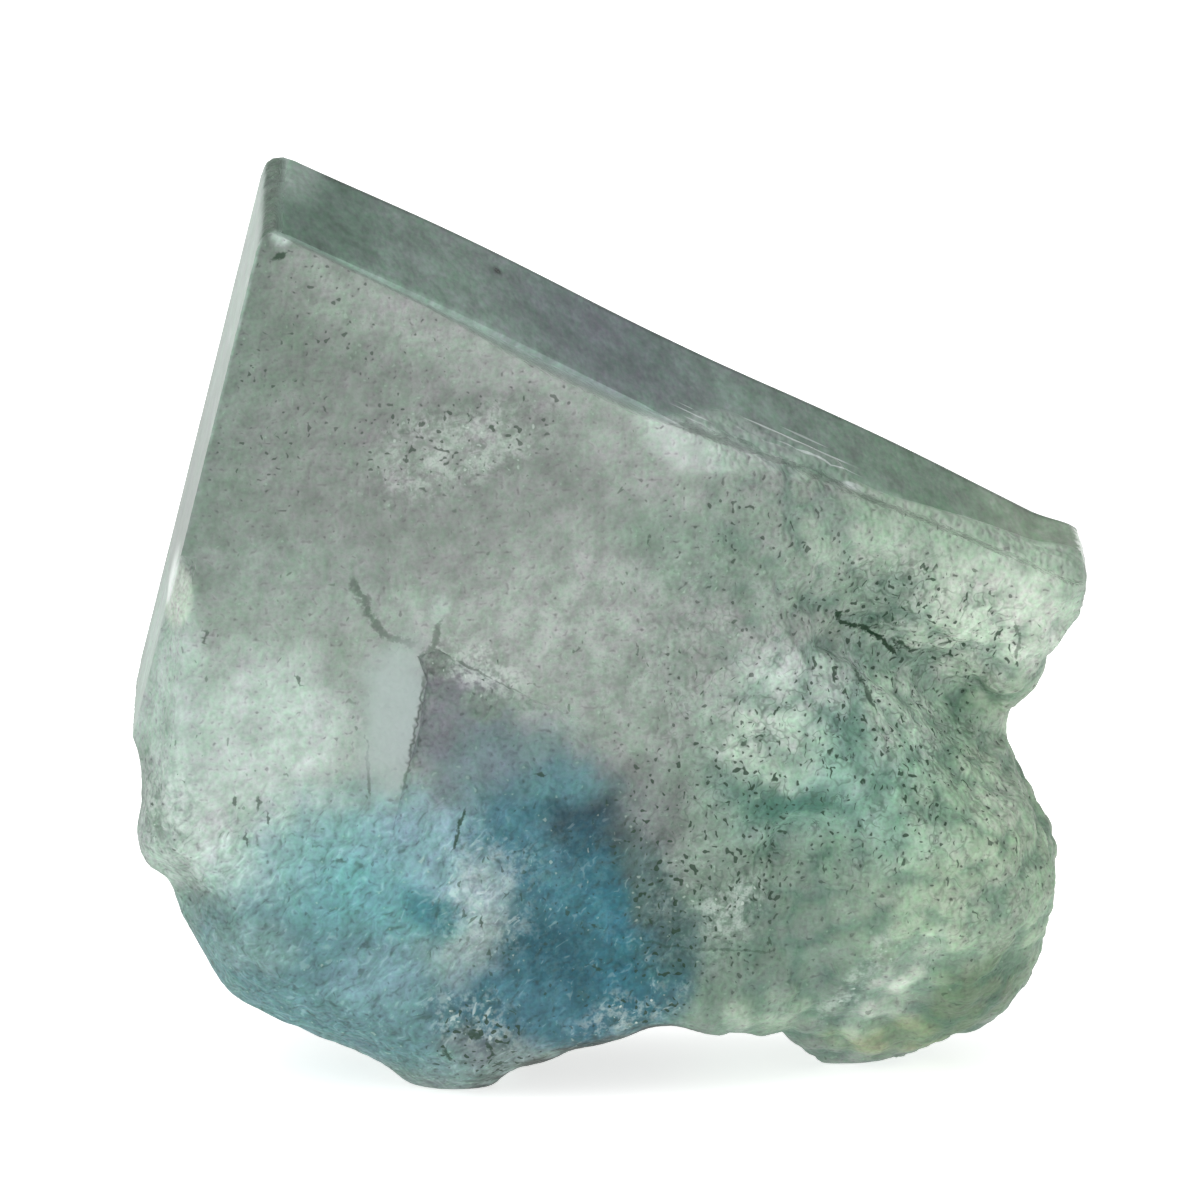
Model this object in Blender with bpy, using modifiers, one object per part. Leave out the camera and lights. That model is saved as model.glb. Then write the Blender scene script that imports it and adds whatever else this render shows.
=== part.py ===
"""One tabular crystal of blue barite, broken off along its lower end.

The crystal is a thick plate. Two flat basal faces look forwards and back, and two flat prism
faces meet in a point at the top left, at about 78 degrees as in all barite. The rest of the rim
is broken: a rounded left lobe and a lumpy right lobe reach the ground, with a shallow arch
between them.
"""

import math

import bmesh
import bpy
from mathutils import Matrix, Vector, noise

MM = 0.001

# Driving dimensions, in millimetres and degrees. X runs to the right, Y away, Z up.
HALF_THICKNESS = 8.15
APEX_X = -18.15
APEX_Z = 47.82
PRISM_ANGLE = 77.6
RIGHT_FACE_DIP = 26.2
TIP_ROUNDING = 0.75

# The rough body is meshed in voxels of this size, and then keeps this share of its faces.
VOXEL = 0.42
BODY_SHARE = 0.115

# The broken outline, clockwise from the upper right: x, z and the radius of the front rim there.
# The points marked beyond lie outside the two prism faces, which cut the body there.
BEYOND_RIGHT = (23.9, 31.0, 0.5)
BEYOND_LEFT = (-26.6, 22.5, 0.5)
BEYOND_APEX = (-19.5, 51.0, 0.5)
RIGHT_END = [(24.3, 26.9, 1.2), (24.95, 25.1, 2.0), (24.95, 24.5, 2.2), (24.1, 23.5, 2.2)]
RIGHT_FLANK = [(22.7, 21.8, 2.0), (21.6, 20.0, 1.8), (20.6, 18.3, 2.0)]
RIGHT_LOBE = [(21.1, 16.3, 3.0), (22.3, 13.9, 4.0), (23.1, 11.6, 4.5), (23.2, 9.0, 4.5)]
RIGHT_FOOT = [(22.3, 5.8, 4.2), (20.7, 4.0, 4.0), (19.1, 2.5, 4.0), (17.5, 1.8, 4.0)]
RIGHT_SOLE = [(15.4, 0.6, 4.2), (13.6, -0.5, 4.5), (11.4, -0.4, 4.5), (9.9, 1.5, 4.5)]
ARCH = [(8.6, 2.3, 5.5), (6.7, 2.9, 4.0), (4.6, 3.4, 3.0), (2.5, 3.9, 2.2), (0.4, 3.1, 2.2)]
LEFT_SOLE = [(-2.7, 2.1, 2.5), (-5.4, 0.8, 3.5), (-7.2, -0.4, 4.8), (-10.1, -0.4, 5.0)]
LEFT_FOOT = [(-11.9, 1.1, 4.5), (-13.8, 2.1, 4.5), (-16.4, 3.1, 4.5), (-19.2, 4.5, 4.5)]
LEFT_CORNER = [(-21.1, 6.1, 4.5), (-22.1, 7.9, 4.5), (-22.7, 10.2, 4.5), (-23.2, 11.2, 4.5)]
LEFT_FLANK = [(-24.0, 11.9, 4.0), (-24.7, 13.2, 3.5), (-24.78, 17.6, 2.5)]
BACK_RIM_RADIUS = 4.5
RIM_DEPTH_SHARE = 0.8
LEAST_THICKNESS = 3.5
EDGE_LUMP_SIZE = 2.6
EDGE_LUMP_HEIGHT = 0.45

# How far the body stands proud of the flat front and back faces, which then cut it off.
PROUD_LEFT = 0.26
PROUD_RIGHT = 0.06
PROUD_BACK = 1.2

# The right shoulder recedes from the front face past this x, and eases into its slope.
SHOULDER_START_X = 3.4
SHOULDER_SLOPE = 0.37
SHOULDER_EASE = 5.0

# The valley that parts the shoulder from the lower right lobe: x, z and depth.
VALLEY = [(4.6, 29.4, 0.0), (8.5, 27.2, 0.4), (11.7, 25.3, 1.3), (14.6, 23.2, 2.1),
          (16.7, 21.5, 2.6), (18.3, 20.1, 3.0), (20.6, 18.3, 3.4)]
VALLEY_WIDTH_ABOVE = 3.4
VALLEY_WIDTH_BELOW = 2.8
VALLEY_CRACK_DEPTH = 0.5
VALLEY_CRACK_WIDTH = 1.2

# The lobe: the level of its front, its turn to the right and its undercut near the ground.
LOBE_LEVEL = 0.25
LOBE_TURN_X = 14.0
LOBE_TURN_SLOPE = 0.16
LOBE_UNDERCUT = 0.48
LOBE_UNDERCUT_Z = 9.5
LEDGE_DEPTH = 0.55
LEDGE_Z = 14.8

# Broken surfaces: the sizes and heights of their lumps, and of the ripples that run down-right.
ROUGH_START_X = -0.5
ROUGH_FULL_AFTER = 5.5
COARSE_SIZE = 6.5
COARSE_HEIGHT = 0.95
FINE_SIZE = 2.9
FINE_HEIGHT = 0.6
RIPPLE_SIZE = 2.6
RIPPLE_HEIGHT = 0.7
RIPPLE_DIP = 23.0

# The broken lower end of the back.
BACK_BREAK_DEPTH = 1.9
BACK_BREAK_SLOPE = 0.06
BACK_BREAK_Z = 20.0
BACK_COARSE_HEIGHT = 0.7
BACK_FINE_HEIGHT = 0.4

# The thin flake lost from the middle of the front: its outline in x and z, its greatest depth,
# and how fast it runs out to the right and downwards.
FLAKE_EDGE = [(-9.05, 24.9), (-10.2, 24.5), (-9.7, 23.1), (-9.95, 21.8), (-10.1, 20.5),
              (-10.9, 17.7), (-12.2, 12.0), (-13.0, 2.0), (14.0, 2.0), (14.0, 14.0),
              (-2.7, 21.5), (-4.8, 22.5), (-7.5, 23.8)]
FLAKE_DEPTH = 0.85
FLAKE_RUN_RIGHT = 0.03
FLAKE_RUN_DOWN = 0.075

BARITE_COLOUR = (0.36, 0.45, 0.41)
BARITE_ROUGHNESS = 0.35
BARITE_IOR = 1.637


def ramp(value, start, stop):
    """Rises smoothly from 0 at start to 1 at stop."""
    share = min(max((value - start) / (stop - start), 0.0), 1.0)
    return share * share * (3.0 - 2.0 * share)


def prism_normals():
    """The outward directions, in X and Z, of the upper right and the left prism face."""
    dip = math.radians(RIGHT_FACE_DIP)
    lean = math.radians(PRISM_ANGLE - 90.0 + RIGHT_FACE_DIP)
    return (math.sin(dip), math.cos(dip)), (-math.cos(lean), math.sin(lean))


def beyond_prism_faces(x, z):
    """How far a point lies outside the nearer prism face; negative inside."""
    right, left = prism_normals()
    dx, dz = x - APEX_X, z - APEX_Z
    return max(dx * right[0] + dz * right[1], dx * left[0] + dz * left[1])


def body_outline():
    """The broken outline as a closed smooth line of x, z and front rim radius."""
    broken = (RIGHT_END + RIGHT_FLANK + RIGHT_LOBE + RIGHT_FOOT + RIGHT_SOLE + ARCH
              + LEFT_SOLE + LEFT_FOOT + LEFT_CORNER + LEFT_FLANK)
    points = [BEYOND_RIGHT] + broken + [BEYOND_LEFT, BEYOND_APEX]
    notch = points.index(RIGHT_FLANK[-1])
    sharp = {0, notch, len(points) - 2, len(points) - 1}
    line = []
    for i, here in enumerate(points):
        before, after = points[i - 1], points[(i + 1) % len(points)]
        later = points[(i + 2) % len(points)]
        leave = [0.0, 0.0] if i in sharp else [(after[k] - before[k]) / 2 for k in (0, 1)]
        next_sharp = (i + 1) % len(points) in sharp
        arrive = [0.0, 0.0] if next_sharp else [(later[k] - here[k]) / 2 for k in (0, 1)]
        for step in range(3):
            t = step / 3
            a = 2 * t ** 3 - 3 * t ** 2 + 1
            b = t ** 3 - 2 * t ** 2 + t
            c = 3 * t ** 2 - 2 * t ** 3
            d = t ** 3 - t ** 2
            x, z = (a * here[k] + b * leave[k] + c * after[k] + d * arrive[k] for k in (0, 1))
            line.append((x, z, here[2] + (after[2] - here[2]) * t))
    return line


def nearest_on_line(x, z, line, closed):
    """Distance to a line of x, z, value points, the value there, and which side the point is on."""
    best = (1e9, 0.0, 1.0)
    count = len(line) if closed else len(line) - 1
    for i in range(count):
        ax, az, av = line[i]
        bx, bz, bv = line[(i + 1) % len(line)]
        ux, uz = bx - ax, bz - az
        share = ((x - ax) * ux + (z - az) * uz) / max(ux * ux + uz * uz, 1e-9)
        share = min(max(share, 0.0), 1.0)
        px, pz = x - ax - ux * share, z - az - uz * share
        distance = math.hypot(px, pz)
        if distance < best[0]:
            side = 1.0 if ux * pz - uz * px < 0 else -1.0
            best = (distance, av + (bv - av) * share, side)
    return best


def lumps(x, y, z, size, seed):
    """Smooth noise from about -1 to 1, with lumps of the given size in millimetres."""
    return noise.noise(Vector((x / size + seed, y / size + 3.1 * seed, z / size - seed)))


def rim_setback(distance, radius):
    """How far a rounded rim lies behind the face at a distance from the outline."""
    share = min(distance / radius, 1.0)
    return RIM_DEPTH_SHARE * radius * (1.0 - share) ** 2.2


def shoulder_setback(x, z):
    """How far the right shoulder lies behind the front face, above the valley."""
    past = max(x - SHOULDER_START_X + 1.4 * lumps(x, 0.0, z, 9.0, 2.0), 0.0)
    if past < SHOULDER_EASE:
        return SHOULDER_SLOPE * past * past / (2 * SHOULDER_EASE)
    return SHOULDER_SLOPE * (past - SHOULDER_EASE / 2)


def lobe_setback(x, z):
    """How far the lower right lobe lies behind the front face, below the valley."""
    turn = LOBE_TURN_SLOPE * max(x - LOBE_TURN_X, 0.0)
    undercut = LOBE_UNDERCUT * max(LOBE_UNDERCUT_Z - z, 0.0) * ramp(x, 7.0, 12.0)
    return (LOBE_LEVEL + turn + undercut) * ramp(x, -2.0, 8.0)


def broken_relief(x, z):
    """The lumps and slanting ripples of the broken part of the front."""
    from_edge = x - 0.16 * (z - 5.0) - ROUGH_START_X
    rough = ramp(from_edge, -2.0, ROUGH_FULL_AFTER)
    relief = COARSE_HEIGHT * lumps(x, 0.0, z, COARSE_SIZE, 1.0)
    relief += FINE_HEIGHT * lumps(x, 0.0, z, FINE_SIZE, 5.0)
    dip = math.radians(RIPPLE_DIP)
    along = math.cos(dip) * x - math.sin(dip) * z
    across = math.sin(dip) * x + math.cos(dip) * z
    relief += RIPPLE_HEIGHT * abs(lumps(along * 0.5, 0.0, across, RIPPLE_SIZE, 8.0))
    return rough * relief


def low_ledge(x, z):
    """A low ledge that crosses the lobe, lowering what lies under it."""
    across = ramp(x, 6.5, 8.5) * ramp(-x, -14.5, -11.5)
    return LEDGE_DEPTH * across * ramp(LEDGE_Z - z + 0.1 * x, -0.4, 0.4) * ramp(z, 9.0, 14.0)


def front_surface(x, z, distance, radius):
    """The front of the body: flat at the left, receding and lumpy at the right."""
    apart, depth, side = nearest_on_line(x, z, VALLEY, False)
    below = ramp(apart * side, -1.0, 4.4)
    setback = shoulder_setback(x, z) * (1.0 - below) + lobe_setback(x, z) * below
    width = VALLEY_WIDTH_ABOVE if side < 0 else VALLEY_WIDTH_BELOW
    setback += depth * math.exp(-((apart / width) ** 2))
    crack = VALLEY_CRACK_DEPTH * ramp(depth, 0.2, 1.2)
    setback += crack * math.exp(-((apart / VALLEY_CRACK_WIDTH) ** 2))
    setback += broken_relief(x, z) + low_ledge(x, z)
    proud = PROUD_RIGHT + (PROUD_LEFT - PROUD_RIGHT) * ramp(-x, -2.0, 4.0)
    return -HALF_THICKNESS - proud + setback + rim_setback(distance, radius)


def back_surface(x, z, distance, radius):
    """The back of the body: flat above, with a broken, stepped lower end."""
    broken = ramp(0.35 * x - z, -17.0, -8.0)
    setback = BACK_BREAK_DEPTH + BACK_BREAK_SLOPE * (BACK_BREAK_Z - z)
    setback -= BACK_COARSE_HEIGHT * lumps(x, 9.0, z, COARSE_SIZE, 4.0)
    setback -= BACK_FINE_HEIGHT * lumps(x, 9.0, z, FINE_SIZE, 6.0)
    rim = rim_setback(distance, min(BACK_RIM_RADIUS, 1.4 * radius))
    return HALF_THICKNESS + PROUD_BACK - broken * setback - rim


def new_material(name, colour, roughness):
    """A Principled material in one colour."""
    material = bpy.data.materials.new(name)
    material.use_nodes = True
    shader = material.node_tree.nodes["Principled BSDF"]
    shader.inputs["Base Color"].default_value = (*colour, 1.0)
    shader.inputs["Roughness"].default_value = roughness
    shader.inputs["Metallic"].default_value = 0.0
    shader.inputs["IOR"].default_value = BARITE_IOR
    return material


def extruded_outline(name, points, half_depth):
    """A closed solid made from a filled flat curve of x, z points, standing upright in XZ."""
    curve = bpy.data.curves.new(name, "CURVE")
    curve.dimensions = "2D"
    curve.fill_mode = "BOTH"
    curve.extrude = half_depth * MM
    spline = curve.splines.new("POLY")
    spline.points.add(len(points) - 1)
    for point, (x, z) in zip(spline.points, points):
        point.co = (x * MM, z * MM, 0.0, 1.0)
    spline.use_cyclic_u = True
    holder = bpy.data.objects.new(name + "_curve", curve)
    holder.rotation_euler = (math.radians(90.0), 0.0, 0.0)
    bpy.context.scene.collection.objects.link(holder)
    bpy.context.view_layer.update()
    evaluated = holder.evaluated_get(bpy.context.evaluated_depsgraph_get())
    mesh = bpy.data.meshes.new_from_object(evaluated)
    mesh.name = name
    mesh.transform(holder.matrix_world)
    bpy.data.objects.remove(holder)
    bpy.data.curves.remove(curve)
    solid = bmesh.new()
    solid.from_mesh(mesh)
    bmesh.ops.remove_doubles(solid, verts=solid.verts, dist=0.00001)
    bmesh.ops.recalc_face_normals(solid, faces=solid.faces)
    solid.to_mesh(mesh)
    solid.free()
    return bpy.data.objects.new(name, mesh)


def crystal_form(collection):
    """The unbroken tablet: basal faces, two prism faces with a worn tip, and the ground plane."""
    right, left = prism_normals()
    reach_right, reach_left = 60.0, 49.0
    start_right = (APEX_X + right[1] * TIP_ROUNDING * 2, APEX_Z - right[0] * TIP_ROUNDING * 2)
    start_left = (APEX_X - left[1] * TIP_ROUNDING * 2, APEX_Z + left[0] * TIP_ROUNDING * 2)
    points = []
    for step in range(5):
        t = step / 4
        a, b, c = (1 - t) ** 2, 2 * t * (1 - t), t ** 2
        points.append((a * start_left[0] + b * APEX_X + c * start_right[0],
                       a * start_left[1] + b * APEX_Z + c * start_right[1]))
    end_right = (APEX_X + right[1] * reach_right, APEX_Z - right[0] * reach_right)
    end_left = (APEX_X - left[1] * reach_left, APEX_Z + left[0] * reach_left)
    points += [end_right, (end_right[0], 0.0), (end_left[0], 0.0)]
    form = extruded_outline("crystal_form", points, HALF_THICKNESS)
    hide_cutter(form, collection)
    return form


def hide_cutter(cutter, collection):
    """Puts a cutter in its collection, where it is only an outline."""
    collection.objects.link(cutter)
    cutter.hide_render = True
    cutter.display_type = "WIRE"


def block_cutter(name, collection, corner, outward, along, length, width, depth=8.0):
    """A block whose inner face lies at corner, square to outward, and runs length along."""
    w = Vector(outward).normalized()
    u = Vector(along)
    u = (u - w * u.dot(w)).normalized()
    v = w.cross(u)
    middle = Vector(corner) + u * length / 2 + w * depth / 2
    rows = Matrix((u, v, w)).transposed().to_4x4()
    mesh = bpy.data.meshes.new(name)
    solid = bmesh.new()
    bmesh.ops.create_cube(solid, size=1.0)
    scale = Matrix.Diagonal((length * MM, width * MM, depth * MM, 1.0))
    bmesh.ops.transform(solid, matrix=Matrix.Translation(middle * MM) @ rows @ scale,
                        verts=solid.verts)
    solid.to_mesh(mesh)
    solid.free()
    cutter = bpy.data.objects.new(name, mesh)
    hide_cutter(cutter, collection)
    return cutter


def ball_cutter(name, collection, centre, radii):
    """An egg-shaped scoop, for a shell-like fracture."""
    mesh = bpy.data.meshes.new(name)
    solid = bmesh.new()
    bmesh.ops.create_uvsphere(solid, u_segments=40, v_segments=24, radius=1.0)
    scale = Matrix.Diagonal((radii[0] * MM, radii[1] * MM, radii[2] * MM, 1.0))
    bmesh.ops.transform(solid, matrix=Matrix.Translation(Vector(centre) * MM) @ scale,
                        verts=solid.verts)
    solid.to_mesh(mesh)
    solid.free()
    cutter = bpy.data.objects.new(name, mesh)
    hide_cutter(cutter, collection)
    return cutter


def flake_cutter(collection):
    """The thin flake lost from the front, deepest at its upper left corner."""
    cutter = extruded_outline("lost_flake", FLAKE_EDGE, 3.0)
    corner_x, corner_z = FLAKE_EDGE[2]
    for vertex in cutter.data.vertices:
        x, y, z = (value / MM for value in vertex.co)
        depth = FLAKE_DEPTH - FLAKE_RUN_RIGHT * (x - corner_x) - FLAKE_RUN_DOWN * (corner_z - z)
        vertex.co.y = (-HALF_THICKNESS + depth if y > 0.0 else -HALF_THICKNESS - 9.0) * MM
    hide_cutter(cutter, collection)
    return cutter


def rough_body():
    """The broken body before the flat faces cut it: an extruded outline, remeshed and moved."""
    line = body_outline()
    body = extruded_outline("rough_body", [(x, z) for x, z, _ in line], HALF_THICKNESS)
    bpy.context.scene.collection.objects.link(body)
    remesh = body.modifiers.new("even_mesh", "REMESH")
    remesh.mode = "VOXEL"
    remesh.voxel_size = VOXEL * MM
    bpy.context.view_layer.update()
    evaluated = body.evaluated_get(bpy.context.evaluated_depsgraph_get())
    mesh = bpy.data.meshes.new_from_object(evaluated)
    mesh.name = "barite_crystal"
    bpy.data.objects.remove(body)
    for vertex in mesh.vertices:
        x, y, z = (value / MM for value in vertex.co)
        distance, radius, _ = nearest_on_line(x, z, line, True)
        front = front_surface(x, z, distance, radius)
        back = back_surface(x, z, distance, radius)
        front = min(front, back - LEAST_THICKNESS)
        share = min(max((y + HALF_THICKNESS) / (2 * HALF_THICKNESS), 0.0), 1.0)
        new_y = front + (back - front) * share
        edge = math.exp(-distance / 1.5) * ramp(-beyond_prism_faces(x, z), 0.0, 1.5)
        x += edge * EDGE_LUMP_HEIGHT * lumps(x, new_y, z, EDGE_LUMP_SIZE, 7.0)
        z += edge * EDGE_LUMP_HEIGHT * lumps(x, new_y, z, EDGE_LUMP_SIZE, 9.0)
        vertex.co = (x * MM, new_y * MM, z * MM)
    return mesh


def cut(target, cutter, operation="DIFFERENCE"):
    """Adds an exact Boolean to target."""
    boolean = target.modifiers.new(cutter.name, "BOOLEAN")
    boolean.operation = operation
    boolean.object = cutter
    boolean.solver = "EXACT"


def build():
    """Clears the scene and builds the crystal, with its flat faces and scoops cut in."""
    for thing in list(bpy.data.objects):
        bpy.data.objects.remove(thing)
    parts = bpy.data.collections.new("blue barite crystal")
    cutters = bpy.data.collections.new("cutters")
    bpy.context.scene.collection.children.link(parts)
    bpy.context.scene.collection.children.link(cutters)

    crystal = bpy.data.objects.new("barite_crystal", rough_body())
    parts.objects.link(crystal)
    crystal.data.materials.append(new_material("barite", BARITE_COLOUR, BARITE_ROUGHNESS))
    soften = crystal.modifiers.new("soften_steps", "SMOOTH")
    soften.factor = 0.5
    soften.iterations = 4
    thin = crystal.modifiers.new("fewer_faces", "DECIMATE")
    thin.ratio = BODY_SHARE
    cut(crystal, crystal_form(cutters), "INTERSECT")

    right, left = prism_normals()
    up_left = (-right[1], 0.0, right[0])
    # A thin wedge lost from the front edge of the upper right face, deepest at its right end.
    wedge_x = 11.8
    wedge_z = APEX_Z - (wedge_x - APEX_X) * math.tan(math.radians(RIGHT_FACE_DIP))
    cut(crystal, block_cutter("edge_wedge", cutters, (wedge_x, -2.0, wedge_z),
                              (right[0] + 0.09, -0.15, right[1]), up_left, 14.0, 30.0))
    # The left front edge is broken to a slant below the bright strip, and nicked above it.
    cut(crystal, block_cutter("left_slant", cutters, (-22.25, -8.15, 26.7),
                              (-0.88, -0.46, 0.1), (0.0, -0.26, -0.966), 26.0, 30.0))
    cut(crystal, block_cutter("left_nick", cutters, (-21.65, -8.15, 29.8),
                              (-0.93, -0.33, 0.2), (-0.2, -0.26, -0.95), 4.0, 30.0))
    cut(crystal, flake_cutter(cutters))
    # Shell-like fractures at the foot of the right lobe and in the arch.
    cut(crystal, ball_cutter("shell_scoop", cutters, (16.6, -9.6, -2.2), (7.6, 8.2, 9.6)))
    cut(crystal, ball_cutter("small_scoop_left", cutters, (6.4, -8.6, 1.2), (1.3, 3.4, 2.7)))
    cut(crystal, ball_cutter("small_scoop_right", cutters, (8.7, -7.6, 0.8), (1.3, 3.4, 2.7)))
    # A cleavage ledge across the lower back.
    cut(crystal, block_cutter("back_ledge", cutters, (26.0, 7.2, 12.0),
                              (0.0, 1.0, 0.0), (-1.0, 0.0, 0.3), 37.0, 18.0))


build()
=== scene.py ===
"""A blue barite crystal on a pale table: its fine surface, its colours, and a soft studio light."""

import math

import bmesh
import bpy
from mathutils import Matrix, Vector


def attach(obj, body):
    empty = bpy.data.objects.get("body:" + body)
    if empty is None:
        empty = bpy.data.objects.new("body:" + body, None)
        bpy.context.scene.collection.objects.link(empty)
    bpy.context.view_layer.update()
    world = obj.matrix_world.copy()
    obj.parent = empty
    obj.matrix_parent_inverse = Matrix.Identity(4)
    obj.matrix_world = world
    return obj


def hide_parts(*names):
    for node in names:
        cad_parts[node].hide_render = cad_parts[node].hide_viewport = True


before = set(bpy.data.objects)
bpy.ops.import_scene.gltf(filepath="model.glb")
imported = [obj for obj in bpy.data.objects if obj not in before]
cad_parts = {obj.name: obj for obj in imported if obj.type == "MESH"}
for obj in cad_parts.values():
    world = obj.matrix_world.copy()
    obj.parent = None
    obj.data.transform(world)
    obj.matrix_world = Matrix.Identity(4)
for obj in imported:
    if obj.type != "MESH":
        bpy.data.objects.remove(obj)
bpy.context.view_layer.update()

# The crystal's skin. A thick tablet of barite grew with two flat basal faces and two flat prism
# faces that meet in a point, and later broke off along its lower rim. The copy of the solid gets
# an even fine mesh, so that growth steps, hackly breaks and cleavage steps can be raised on it.

MM = 0.001
HALF_THICKNESS = 8.15
APEX = (-18.15, 47.82)
RIGHT_FACE_DIP = 26.2
LEFT_FACE_LEAN = 13.8
SKIN_MESH_DEPTH = 8
SKIN_MESH_SCALE = 0.7


def merged_copy(node, name):
    """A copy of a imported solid, whose loose triangles are joined."""
    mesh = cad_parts[node].data.copy()
    solid = bmesh.new()
    solid.from_mesh(mesh)
    bmesh.ops.remove_doubles(solid, verts=solid.verts, dist=1e-6)
    bmesh.ops.recalc_face_normals(solid, faces=solid.faces)
    solid.to_mesh(mesh)
    solid.free()
    mesh.materials.clear()
    piece = bpy.data.objects.new(name, mesh)
    bpy.context.scene.collection.objects.link(piece)
    return piece


def settle(piece, modifier):
    """Makes a piece's mesh what its modifier shows, and removes the modifier."""
    bpy.context.view_layer.update()
    shown = piece.evaluated_get(bpy.context.evaluated_depsgraph_get())
    mesh = bpy.data.meshes.new_from_object(shown)
    piece.modifiers.remove(modifier)
    old = piece.data
    piece.data = mesh
    bpy.data.meshes.remove(old)


crystal = merged_copy("barite_crystal", "crystal_skin")
even = crystal.modifiers.new("even mesh", "REMESH")
even.mode = "SHARP"
even.octree_depth = SKIN_MESH_DEPTH
even.scale = SKIN_MESH_SCALE
even.sharpness = 1.0
settle(crystal, even)


# Where a place lies in the stone. The tablet's faces are flat, so a depth under each of them tells
# what grew from what broke, and egg-shaped zones tell one part of the stone from another. Such
# sums are written as plain expressions, for Geometry Nodes and for the shader alike.


class Field:
    """A number that varies over the crystal, held as one socket, so that sums add Math nodes."""

    def __init__(self, tree, socket):
        self.tree = tree
        self.socket = socket

    def math(self, operation, *others):
        values = {i: value for i, value in enumerate((self,) + others)}
        return self.tree.add("ShaderNodeMath", {"operation": operation}, values)

    def __add__(self, other):
        return self.math("ADD", other)

    def __sub__(self, other):
        return self.math("SUBTRACT", other)

    def __rsub__(self, other):
        return self.tree.add("ShaderNodeMath", {"operation": "SUBTRACT"}, {0: other, 1: self})

    def __mul__(self, other):
        return self.math("MULTIPLY", other)

    def __truediv__(self, other):
        return self.math("DIVIDE", other)

    def __rtruediv__(self, other):
        return self.tree.add("ShaderNodeMath", {"operation": "DIVIDE"}, {0: other, 1: self})

    def __pow__(self, other):
        return self.math("POWER", other)

    __radd__ = __add__
    __rmul__ = __mul__

    def ramp(self, start, stop, low=0.0, high=1.0):
        """Goes smoothly from low at start to high at stop."""
        settings = {"interpolation_type": "SMOOTHSTEP"}
        return self.tree.add("ShaderNodeMapRange", settings, {0: self, 1: start, 2: stop, 3: low, 4: high})

    def larger(self, other):
        return self.math("MAXIMUM", other)

    def smaller(self, other):
        return self.math("MINIMUM", other)

    def size(self):
        return self.math("ABSOLUTE")


class Tree:
    """A node tree, of a material or of Geometry Nodes, that grows by one method."""

    def __init__(self, tree):
        self.tree = tree

    def add(self, kind, settings, values, output=0):
        """Adds a node with its settings, then its socket values or links; returns one output."""
        node = self.tree.nodes.new(kind)
        for name, value in settings.items():
            setattr(node, name, value)
        for key, value in values.items():
            if isinstance(value, Field):
                self.tree.links.new(value.socket, node.inputs[key])
            else:
                node.inputs[key].default_value = value
        return Field(self, node.outputs[output]) if node.outputs else None

    def other(self, field, output):
        """Another output of the node that a field comes from."""
        return Field(self, field.socket.node.outputs[output])

    def vector(self, operation, *values, output=0):
        return self.add("ShaderNodeVectorMath", {"operation": operation}, dict(enumerate(values)), output)

    def scaled(self, vector, factor):
        return self.add("ShaderNodeVectorMath", {"operation": "SCALE"}, {0: vector, "Scale": factor})

    def mixed(self, factor, under, over):
        """One colour laid over another by a factor."""
        return self.add("ShaderNodeMix", {"data_type": "RGBA"}, {0: factor, 6: under, 7: over}, 2)

    def picked(self, factor, under, over):
        """One number in place of another by a factor."""
        return self.add("ShaderNodeMix", {"data_type": "FLOAT"}, {0: factor, 2: under, 3: over})

    def split(self, vector):
        x = self.add("ShaderNodeSeparateXYZ", {}, {0: vector})
        return x, self.other(x, 1), self.other(x, 2)

    def noise(self, place, size, detail=2.0, roughness=0.5, warp=0.0, colour=False):
        """Cloudy noise from 0 to 1 with lumps of a size in millimetres."""
        settings = {"noise_type": "FBM", "normalize": True}
        values = {"Vector": place, "Scale": 1.0 / size, "Detail": detail, "Roughness": roughness,
                  "Distortion": warp}
        return self.add("ShaderNodeTexNoise", settings, values, "Color" if colour else 0)

    def cells(self, place, size):
        """Cells of a size in millimetres: the distance to the nearest cell's middle, in cells."""
        values = {"Vector": place, "Scale": 1.0 / size, "Randomness": 1.0}
        return self.add("ShaderNodeTexVoronoi", {"feature": "F1"}, values, "Distance")

    def drawn_out(self, place, turn, lengths):
        """A place turned back about Y by degrees and divided by lengths, which stretches a pattern."""
        values = {"Vector": place, "Angle": math.radians(-turn)}
        turned = self.add("ShaderNodeVectorRotate", {"rotation_type": "Y_AXIS"}, values)
        return self.vector("DIVIDE", turned, lengths)

    def zone(self, place, middle, radii, turn=0.0, strength=1.0, soft=0.45):
        """A strength inside an egg-shaped zone and 0 outside, with a soft edge about its radii."""
        values = {"Place": place, "Middle": middle, "Radii": radii, "Turn": math.radians(-turn),
                  "Strength": strength, "Start": 1.0 - soft, "Stop": 1.0 + soft}
        return self.add("GeometryNodeGroup", {"node_tree": ZONE}, values)

    def depth_under(self, place, point, outward):
        """How far a place lies under a flat face, in millimetres."""
        level = sum(p * n for p, n in zip(point, outward))
        return level - self.vector("DOT_PRODUCT", place, outward, output="Value")


def small_group(name, vectors, numbers, outputs):
    """An empty node group with named inputs and outputs, and its inputs as fields."""
    group = bpy.data.node_groups.new(name, "GeometryNodeTree")
    for title in vectors:
        group.interface.new_socket(title, in_out="INPUT", socket_type="NodeSocketVector")
    for title in numbers:
        group.interface.new_socket(title, in_out="INPUT", socket_type="NodeSocketFloat")
    for title in outputs:
        group.interface.new_socket(title, in_out="OUTPUT", socket_type="NodeSocketFloat")
    tree = Tree(group)
    first = tree.add("NodeGroupInput", {}, {})
    return tree, [tree.other(first, title) for title in vectors + numbers]


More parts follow.
